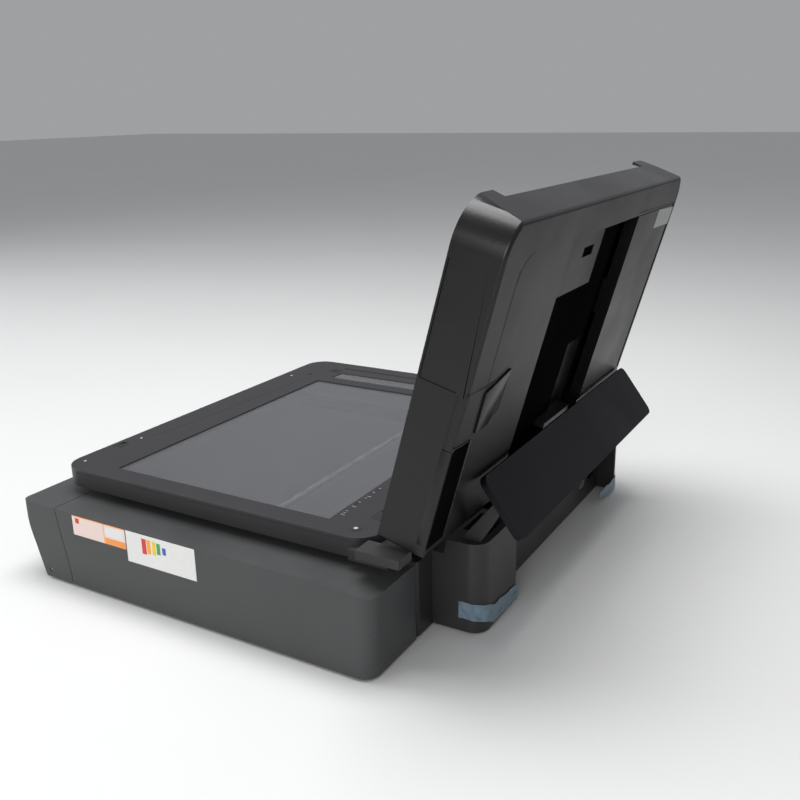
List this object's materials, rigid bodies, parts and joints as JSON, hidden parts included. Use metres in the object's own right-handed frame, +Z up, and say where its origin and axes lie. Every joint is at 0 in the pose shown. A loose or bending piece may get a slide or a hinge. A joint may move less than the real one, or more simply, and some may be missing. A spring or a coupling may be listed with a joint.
{
  "type": "inkjet printer",
  "caption": "Low ink-tank all-in-one printer with a flatbed scanner, its lid with a document feeder standing open, a side ink box and a folded rear paper support.",
  "frame": {"origin": "centre of the bounding box's bottom face, on the plane that the feet stand on", "axes": "+X towards the printer's right, where the ink box is; +Y towards its rear, where the paper support is; +Z up"},
  "size_m": [0.431, 0.4384, 0.3328],
  "materials": {
    "case_charcoal": "fine moulded texture",
    "lid_black": "fine moulded texture",
    "trim_black": "smooth satin",
    "panel_gloss": "polished",
    "foot_rubber": "matt",
    "roller_rubber": "matt",
    "steel": "bright",
    "glass": "clear",
    "display": "polished, off",
    "button_grey": "satin",
    "board_green": "printed board",
    "supply_case": "satin",
    "pad_white": "smooth film",
    "felt": "absorbent felt",
    "gear_white": "satin",
    "belt": "toothed",
    "tape_blue": "removable film tape",
    "ink_black": "translucent tank with ink",
    "ink_cyan": "translucent tank with ink",
    "ink_magenta": "translucent tank with ink",
    "ink_yellow": "translucent tank with ink"
  },
  "bodies": {
    "printer": {"feet": "foot_rubber", "base_tray": "trim_black", "body_shell": "case_charcoal", "base_screws": "steel", "packing_tapes": "tape_blue", "ink_box": "case_charcoal", "hinge_pins": "steel", "ink_tank_black": "ink_black", "ink_tank_cyan": "ink_cyan", "ink_tank_magenta": "ink_magenta", "ink_tank_yellow": "ink_yellow", "main_board": "board_green", "power_supply": "supply_case", "ac_inlet": "trim_black", "usb_port": "supply_case", "waste_pad": "felt", "capping_station": "trim_black", "guide_rod": "steel", "carriage_motor": "steel", "carriage_belt": "belt", "encoder_strip": "steel", "platen": "trim_black", "feed_motor": "steel", "scanner_case": "case_charcoal", "scanner_bezel": "case_charcoal", "scanner_glass": "glass", "feeder_window": "glass", "scan_rail": "steel"},
    "ink_cover": {"ink_box_cover": "case_charcoal"},
    "cap_k": {"cap_black": "ink_black"},
    "cap_c": {"cap_cyan": "ink_cyan"},
    "cap_m": {"cap_magenta": "ink_magenta"},
    "cap_y": {"cap_yellow": "ink_yellow"},
    "carriage": {"carriage": "trim_black"},
    "drive_pulley": {"drive_pulley": "gear_white"},
    "idler_pulley": {"idler_pulley": "gear_white"},
    "feed": {"feed_roller": "roller_rubber", "feed_gear": "gear_white"},
    "exit_roller": {"exit_roller": "roller_rubber"},
    "pickup_roller": {"pickup_roller": "roller_rubber"},
    "tray": {"output_tray": "trim_black"},
    "extension": {"tray_extension": "trim_black"},
    "sheet_stop": {"sheet_stop": "trim_black"},
    "support": {"paper_support": "case_charcoal"},
    "edge_guide": {"edge_guide": "trim_black"},
    "panel": {"control_panel": "panel_gloss", "display": "display"},
    "button_power": {"button_power": "button_grey"},
    "button_menu": {"button_menu": "button_grey"},
    "button_ok": {"button_ok": "button_grey"},
    "button_stop": {"button_stop": "button_grey"},
    "button_start": {"button_start": "button_grey"},
    "scan_bar": {"scan_bar": "trim_black"},
    "lid": {"lid_case": "lid_black", "lid_liner": "trim_black", "lid_pad": "pad_white"},
    "feeder_cover": {"feeder_cover": "lid_black"},
    "feeder_guide": {"feeder_guide": "trim_black"},
    "document_flap": {"document_flap": "lid_black"},
    "feeder_roller": {"feeder_roller": "roller_rubber"}
  },
  "joints": [
    {"name": "ink_cover_hinge", "type": "hinge", "parent": "printer", "child": "ink_cover", "pos_m": [0.183, -0.19316, 0.009], "axis": [1, 0, 0], "range_deg": [0, 70]},
    {"name": "cap_k_pull", "type": "slide", "parent": "printer", "child": "cap_k", "axis": [0, -1, 0], "range_m": [0, 0.009]},
    {"name": "cap_c_pull", "type": "slide", "parent": "printer", "child": "cap_c", "axis": [0, -1, 0], "range_m": [0, 0.009]},
    {"name": "cap_m_pull", "type": "slide", "parent": "printer", "child": "cap_m", "axis": [0, -1, 0], "range_m": [0, 0.009]},
    {"name": "cap_y_pull", "type": "slide", "parent": "printer", "child": "cap_y", "axis": [0, -1, 0], "range_m": [0, 0.009]},
    {"name": "carriage_slide", "type": "slide", "parent": "printer", "child": "carriage", "axis": [-1, 0, 0], "range_m": [0, 0.235]},
    {"name": "drive_pulley_spin", "type": "hinge", "parent": "printer", "child": "drive_pulley", "pos_m": [-0.1855, -0.00316, 0.052], "axis": [0, 0, 1], "continuous": true},
    {"name": "idler_pulley_spin", "type": "hinge", "parent": "printer", "child": "idler_pulley", "pos_m": [0.1242, -0.00316, 0.052], "axis": [0, 0, 1], "continuous": true},
    {"name": "feed_spin", "type": "hinge", "parent": "printer", "child": "feed", "pos_m": [0, 0.02084, 0.022], "axis": [1, 0, 0], "continuous": true},
    {"name": "exit_spin", "type": "hinge", "parent": "printer", "child": "exit_roller", "pos_m": [0, -0.07116, 0.022], "axis": [1, 0, 0], "continuous": true},
    {"name": "pickup_spin", "type": "hinge", "parent": "printer", "child": "pickup_roller", "pos_m": [0, 0.12684, 0.039], "axis": [1, 0, 0], "continuous": true},
    {"name": "tray_slide", "type": "slide", "parent": "printer", "child": "tray", "axis": [0, -1, 0], "range_m": [0, 0.11]},
    {"name": "extension_slide", "type": "slide", "parent": "tray", "child": "extension", "axis": [0, -1, 0], "range_m": [0, 0.07]},
    {"name": "sheet_stop_hinge", "type": "hinge", "parent": "extension", "child": "sheet_stop", "pos_m": [-0.0538, -0.18541, 0.011], "axis": [1, 0, 0], "range_deg": [0, 85]},
    {"name": "support_hinge", "type": "hinge", "parent": "printer", "child": "support", "pos_m": [0, 0.18081, 0.10673], "axis": [-1, 0, 0], "range_deg": [0, 45]},
    {"name": "edge_guide_slide", "type": "slide", "parent": "printer", "child": "edge_guide", "axis": [1, 0, 0], "range_m": [0, 0.06]},
    {"name": "panel_tilt", "type": "hinge", "parent": "printer", "child": "panel", "pos_m": [-0.02, -0.20526, 0.0575], "axis": [-1, 0, 0], "range_deg": [0, 45]},
    {"name": "button_power_press", "type": "slide", "parent": "panel", "child": "button_power", "axis": [0, 1, 0], "range_m": [0, 0.001], "stiffness_N_per_m": 300},
    {"name": "button_menu_press", "type": "slide", "parent": "panel", "child": "button_menu", "axis": [0, 1, 0], "range_m": [0, 0.001], "stiffness_N_per_m": 300},
    {"name": "button_ok_press", "type": "slide", "parent": "panel", "child": "button_ok", "axis": [0, 1, 0], "range_m": [0, 0.001], "stiffness_N_per_m": 300},
    {"name": "button_stop_press", "type": "slide", "parent": "panel", "child": "button_stop", "axis": [0, 1, 0], "range_m": [0, 0.001], "stiffness_N_per_m": 300},
    {"name": "button_start_press", "type": "slide", "parent": "panel", "child": "button_start", "axis": [0, 1, 0], "range_m": [0, 0.001], "stiffness_N_per_m": 300},
    {"name": "scan_bar_slide", "type": "slide", "parent": "printer", "child": "scan_bar", "axis": [1, 0, 0], "range_m": [-0.078, 0.238]},
    {"name": "lid_hinge", "type": "hinge", "parent": "printer", "child": "lid", "pos_m": [0, 0.10484, 0.083], "axis": [1, 0, 0], "range_deg": [0, 105.5]},
    {"name": "feeder_cover_hinge", "type": "hinge", "parent": "lid", "child": "feeder_cover", "pos_m": [-0.1958, 0.18521, 0.21378], "axis": [0, 0.2672, 0.9636], "range_deg": [0, 60]},
    {"name": "feeder_guide_slide", "type": "slide", "parent": "lid", "child": "feeder_guide", "axis": [0, 0.2672, 0.9636], "range_m": [0, 0.058]},
    {"name": "document_flap_hinge", "type": "hinge", "parent": "lid", "child": "document_flap", "pos_m": [0, 0.1992, 0.28929], "axis": [1, 0, 0], "range_deg": [0, 70]},
    {"name": "feeder_roller_spin", "type": "hinge", "parent": "lid", "child": "feeder_roller", "pos_m": [-0.1268, 0.17461, 0.21672], "axis": [0, 0.2672, 0.9636], "continuous": true}
  ],
  "couplings": [
    {"joint": "drive_pulley_spin", "follows": "carriage_slide", "rad_per_m": -136.99},
    {"joint": "idler_pulley_spin", "follows": "carriage_slide", "rad_per_m": -136.99},
    {"joint": "exit_spin", "follows": "feed_spin", "ratio": 1.2},
    {"joint": "pickup_spin", "follows": "feed_spin", "ratio": 0.6667}
  ]
}
